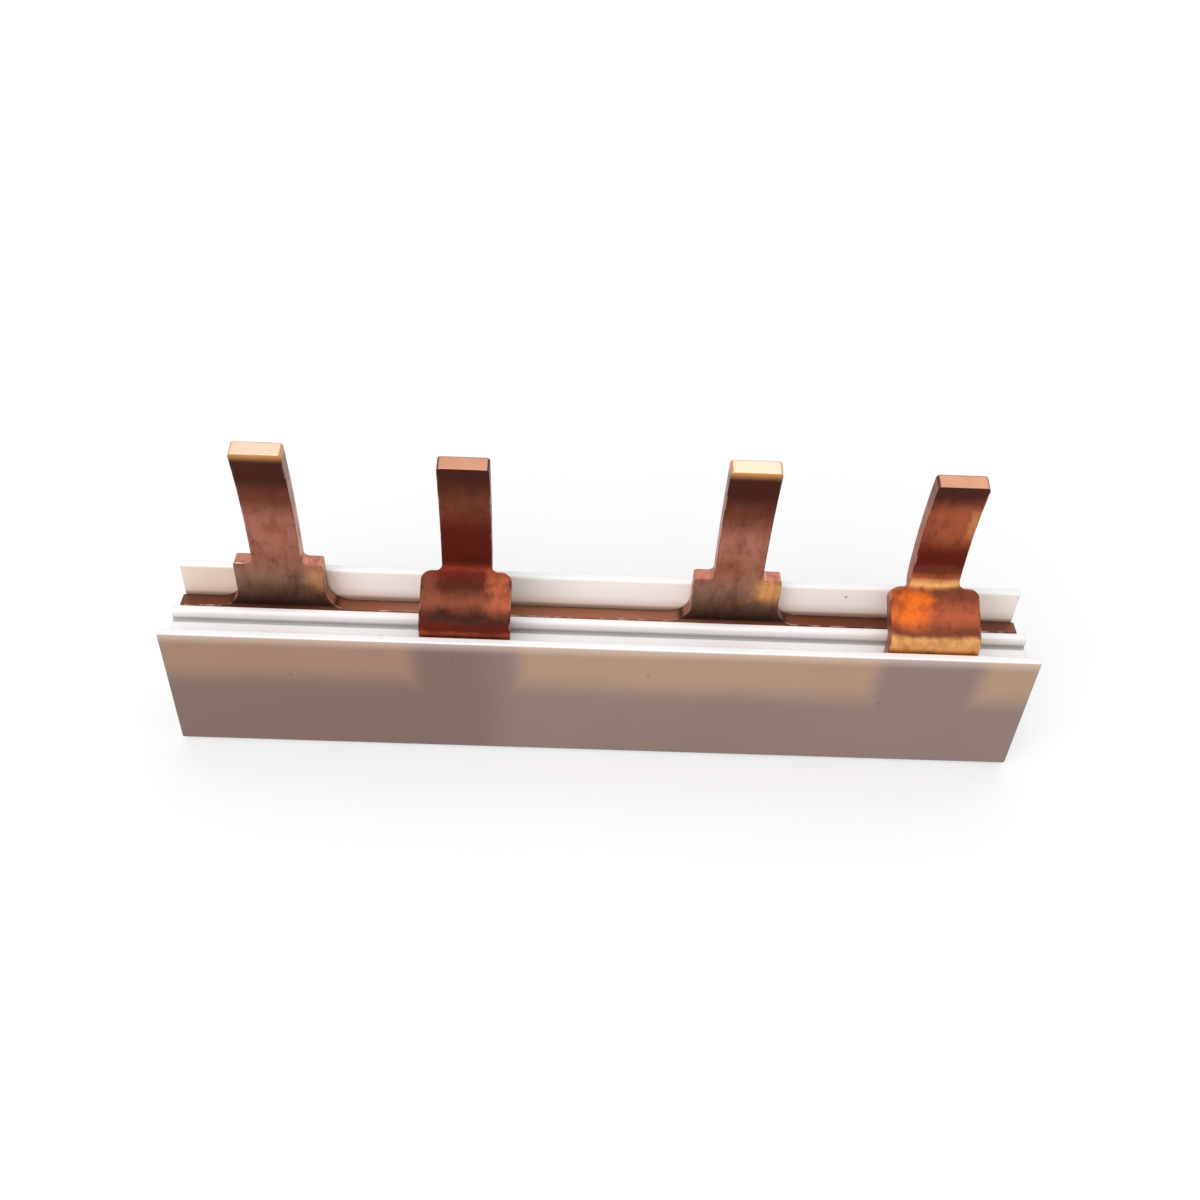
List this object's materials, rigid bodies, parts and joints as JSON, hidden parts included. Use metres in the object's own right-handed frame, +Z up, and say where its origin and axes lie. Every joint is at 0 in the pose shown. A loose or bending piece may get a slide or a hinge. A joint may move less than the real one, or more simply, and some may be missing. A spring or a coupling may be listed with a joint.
{
  "type": "comb busbar",
  "caption": "Pin-type comb busbar: an open plastic trunking that holds two copper combs side by side, with bent pins rising out of its top for breaker terminals.",
  "frame": {"origin": "middle of the flat underside of the housing", "axes": "+X along the bar, -Y is the outside of the front wall, +Z up through the pins"},
  "size_m": [0.0676, 0.0082, 0.0257],
  "materials": {
    "pvc": "satin extruded PVC, ivory to tan, slightly translucent",
    "front_copper": "bare rolled copper, tarnished and brushed, bright on its bends and cut edges",
    "rear_copper": "bare rolled copper, tarnished and brushed, darker towards the blade ends"
  },
  "bodies": {
    "root": {"housing": "pvc", "front_comb_bar": "front_copper", "rear_comb_bar": "rear_copper"}
  },
  "joints": []
}
